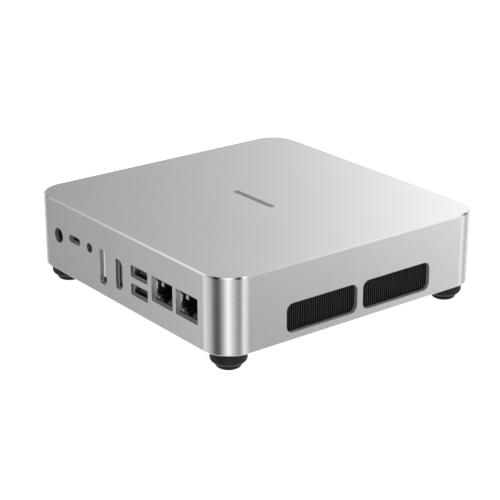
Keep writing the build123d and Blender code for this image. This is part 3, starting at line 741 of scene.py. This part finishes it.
def video_details():
    """A pale blade in the tall socket and a dark one in the flat one, with contact rows."""
    for node, slot, wide, forward, share in (
        ("tall_video_socket", "grey_tongue", 1.45, 0.75, 0.80),
        ("flat_video_socket", "bracket_plastic", 1.1, 0.35, 0.78),
    ):
        low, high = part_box(f"{node}_tongue")
        top = high.z - 0.3 * MM
        bottom = top - (high.z - low.z) * share
        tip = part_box(f"{node}_shell")[1].y + forward * MM
        x = (low.x + high.x) / 2 + 0.25 * MM
        blade = block(
            Vector((x - wide / 2 * MM, low.y + 5 * MM, bottom)), Vector((x + wide / 2 * MM, tip, top)),
            0.16 * MM, 3,
        )
        root = block(
            Vector((low.x + 0.04 * MM, low.y, low.z + 1.9 * MM)),
            Vector((high.x - 0.04 * MM, low.y + 5.6 * MM, high.z - 0.04 * MM)), 0.2 * MM,
        )
        finished(blade, f"{node}_blade", slot)
        finished(root, f"{node}_moulding", "socket_plastic", [f"{node}_tongue"])
        rows = []
        for face in (-1, 1):
            pad = block(*sorted_corners(
                Vector((x + face * (wide / 2 - 0.02) * MM, tip - 1.2 * MM, bottom + 0.7 * MM)),
                Vector((x + face * (wide / 2 + 0.04) * MM, tip - 6.5 * MM, bottom + 1.0 * MM)),
            ))
            rows.append(repeated(pad, [mm(0, 0, VIDEO_PITCH * i) for i in range(1, VIDEO_PADS)]))
        finished(joined(*rows), f"{node}_contacts", "contact_gold")


# ======== power inlet

def power_inlet_details():
    """A grooved centre pin and the spring leaf under it."""
    low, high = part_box("dc_pin")
    centre = Vector(((low.x + high.x) / 2, low.y, (low.z + high.z) / 2))
    length = (high.y - low.y) / MM
    pin = turned(centre, REARWARD, [(r * MM, d * MM) for r, d in (
        (1.0, 0.0), (1.0, length - 2.2), (0.86, length - 2.1), (0.86, length - 1.7),
        (1.0, length - 1.6), (1.0, length - 0.5), (0.92, length - 0.2), (0.7, length - 0.02),
        (0.42, length), (0.34, length - 0.4),
    )])
    finished(pin, "dc_centre_pin", "pin_steel", ["dc_pin"])
    leaf = drawn(
        Vector((centre.x, high.y - 0.6 * MM, centre.z - 2.85 * MM)), (1.9 * MM, 0.2 * MM),
        [mm(0, -1.2, 0.35), mm(0, -1.6, 0.75), mm(0, -0.8, 0.12), mm(0, -2.6, -0.7)],
    )
    finished(leaf, "dc_spring_leaf", "pin_steel", smooth=50)


# ======== every piece, in turn

def make_pieces():
    feet()
    button()
    lan_socket_details()
    usb_a_details()
    usb_c_details()
    video_details()
    power_inlet_details()


# ======== studio

VIEW_TURN = math.radians(232.364)
VIEW_RISE = math.radians(20.934)
VIEW_DISTANCE = 0.7644   # metres
VIEW_AIM = Vector((-0.0012, 0.0032, 0.0202))
LENS = 113.75
SENSOR = 36.0


def camera():
    back = Vector((
        math.sin(VIEW_TURN) * math.cos(VIEW_RISE),
        -math.cos(VIEW_TURN) * math.cos(VIEW_RISE),
        math.sin(VIEW_RISE),
    ))
    lens = bpy.data.cameras.new("camera")
    lens.lens = LENS
    lens.sensor_width = SENSOR
    lens.clip_start = 0.01
    lens.clip_end = 100
    eye = bpy.data.objects.new("camera", lens)
    eye.location = VIEW_AIM + back * VIEW_DISTANCE
    eye.rotation_euler = back.to_track_quat("Z", "Y").to_euler()
    bpy.context.scene.collection.objects.link(eye)
    bpy.context.scene.camera = eye


# The room's soft lights as panels that stand round the object. For each heading (degrees from
# +X towards +Y) there is the brightness low down, a little above the horizon, at mid height
# and overhead. Dark gaps between the panels give the rounded corners their bands.
ROOM_RISES = (-25.0, 15.0, 32.0, 60.0)
ROOM_PANELS = [
    (-176, 0.00, 0.54, 0.07, 0.22),
    (-164, 1.90, 1.06, 0.00, 0.00),
    (-152, 0.86, 1.74, 1.56, 0.11),
    (-144, 0.00, 2.78, 0.53, 1.29),
    (-136, 0.18, 4.02, 0.78, 1.83),
    (-128, 1.59, 3.58, 0.00, 0.73),
    (-118, 0.77, 1.89, 1.85, 0.45),
    (-104, 0.55, 0.04, 0.33, 0.77),
    (-84, 1.36, 1.13, 0.00, 0.53),
    (-62, 1.42, 0.97, 0.74, 0.72),
    (-48, 1.12, 2.01, 1.35, 0.78),
    (-38, 1.09, 0.79, 0.76, 0.76),
    (-28, 1.45, 0.43, 0.46, 0.64),
    (-12, 1.48, 0.36, 0.48, 0.53),
    (6, 0.91, 0.86, 0.00, 0.20),
    (20, 0.47, 0.00, 0.55, 0.00),
    (30, 0.06, 0.83, 1.46, 0.00),
    (38, 0.80, 1.03, 0.38, 1.23),
    (46, 1.52, 1.17, 0.48, 0.58),
    (54, 0.88, 1.26, 0.10, 0.55),
    (62, 0.84, 1.25, 0.33, 0.00),
    (70, 0.70, 1.27, 0.00, 0.00),
    (78, 0.45, 1.14, 0.00, 0.00),
    (86, 0.04, 0.93, 0.00, 0.08),
    (94, 0.00, 0.61, 0.11, 0.49),
    (102, 0.01, 0.38, 0.20, 0.63),
    (110, 0.03, 0.28, 0.44, 0.86),
    (118, 0.59, 0.37, 0.64, 1.10),
    (127, 0.80, 0.78, 0.78, 1.37),
    (138, 2.00, 1.41, 0.92, 1.26),
    (152, 0.96, 1.33, 0.99, 1.39),
]
BRIGHTEST = 6.0


def studio_room():
    """A room of tall soft panels, bright and dark by heading and by rise."""
    world = bpy.data.worlds.new("studio")
    bpy.context.scene.world = world
    world.use_nodes = True
    tree = world.node_tree
    tree.nodes.clear()

    def node(kind, **settings):
        made = tree.nodes.new(kind)
        for key, value in settings.items():
            setattr(made, key, value)
        return made

    def wire(source, target):
        tree.links.new(source, target)

    def span(value, from_low, from_high, to_low, to_high):
        made = node("ShaderNodeMapRange")
        wire(value, made.inputs[0])
        for socket, number in zip(list(made.inputs)[1:5], (from_low, from_high, to_low, to_high)):
            socket.default_value = number
        return made.outputs[0]

    toward = node("ShaderNodeSeparateXYZ")
    wire(node("ShaderNodeTexCoord").outputs["Generated"], toward.inputs[0])
    heading = node("ShaderNodeMath", operation="ARCTAN2")
    wire(toward.outputs["Y"], heading.inputs[0])
    wire(toward.outputs["X"], heading.inputs[1])
    first = math.radians(ROOM_PANELS[0][0])
    wrapped = node("ShaderNodeMath", operation="WRAP")
    wire(heading.outputs[0], wrapped.inputs[0])
    wrapped.inputs[1].default_value = first + 2 * math.pi
    wrapped.inputs[2].default_value = first
    ramp = node("ShaderNodeValToRGB")
    wire(span(wrapped.outputs[0], first, first + 2 * math.pi, 0.0, 1.0), ramp.inputs[0])
    stops = ramp.color_ramp.elements
    rows = ROOM_PANELS + [(ROOM_PANELS[0][0] + 360, *ROOM_PANELS[0][1:])]
    while len(stops) < len(rows):
        stops.new(0.5)
    for stop, (angle, *levels) in zip(stops, rows):
        stop.position = (angle - rows[0][0]) / 360
        stop.color = [level / BRIGHTEST for level in levels]
    split = node("ShaderNodeSeparateColor")
    wire(ramp.outputs["Color"], split.inputs[0])
    levels = [*split.outputs[:3], ramp.outputs["Alpha"]]

    rise = node("ShaderNodeMath", operation="ARCSINE")
    wire(toward.outputs["Z"], rise.inputs[0])
    total = levels[0]
    for number in range(1, 4):
        low, high = (math.radians(angle) for angle in ROOM_RISES[number - 1:number + 1])
        mixed = node("ShaderNodeMix")
        wire(span(rise.outputs[0], low, high, 0.0, 1.0), mixed.inputs[0])
        wire(total, mixed.inputs[2])
        wire(levels[number], mixed.inputs[3])
        total = mixed.outputs[0]
    glow = node("ShaderNodeBackground")
    wire(span(total, 0.0, 1.0, 0.0, BRIGHTEST), glow.inputs["Strength"])
    wire(glow.outputs[0], node("ShaderNodeOutputWorld").inputs["Surface"])


def floor():
    bpy.ops.object.select_all(action="DESELECT")
    bpy.ops.mesh.primitive_circle_add(vertices=96, radius=30, fill_type="NGON", location=(0, 0, 0))
    ground = bpy.context.object
    ground.name = "floor"
    f = Finish("floor_paper")
    cloud = f.noise(3.0, 2.0)
    f.set(
        Base_Color=f.blend(cloud, grey(0.86), grey(0.88)), Roughness=0.9,
        Emission_Color=grey(1.0), Emission_Strength=1.0,
    )
    above = f.node("ShaderNodeNewGeometry", {}, {}, "Backfacing")
    clear = f.node("ShaderNodeBsdfTransparent", {}, {})
    out = f.tree.nodes["Material Output"]
    paper = Flow(f, f.surface.outputs[0])
    f.feed(out.inputs["Surface"], f.node("ShaderNodeMixShader", {}, {0: above, 1: paper, 2: clear}))
    ground.data.materials.append(f.material)
    ground.visible_glossy = False
    ground.visible_shadow = False


dress_cad_nodes()
make_pieces()
camera()
studio_room()
floor()
bpy.context.scene.view_settings.view_transform = "Standard"
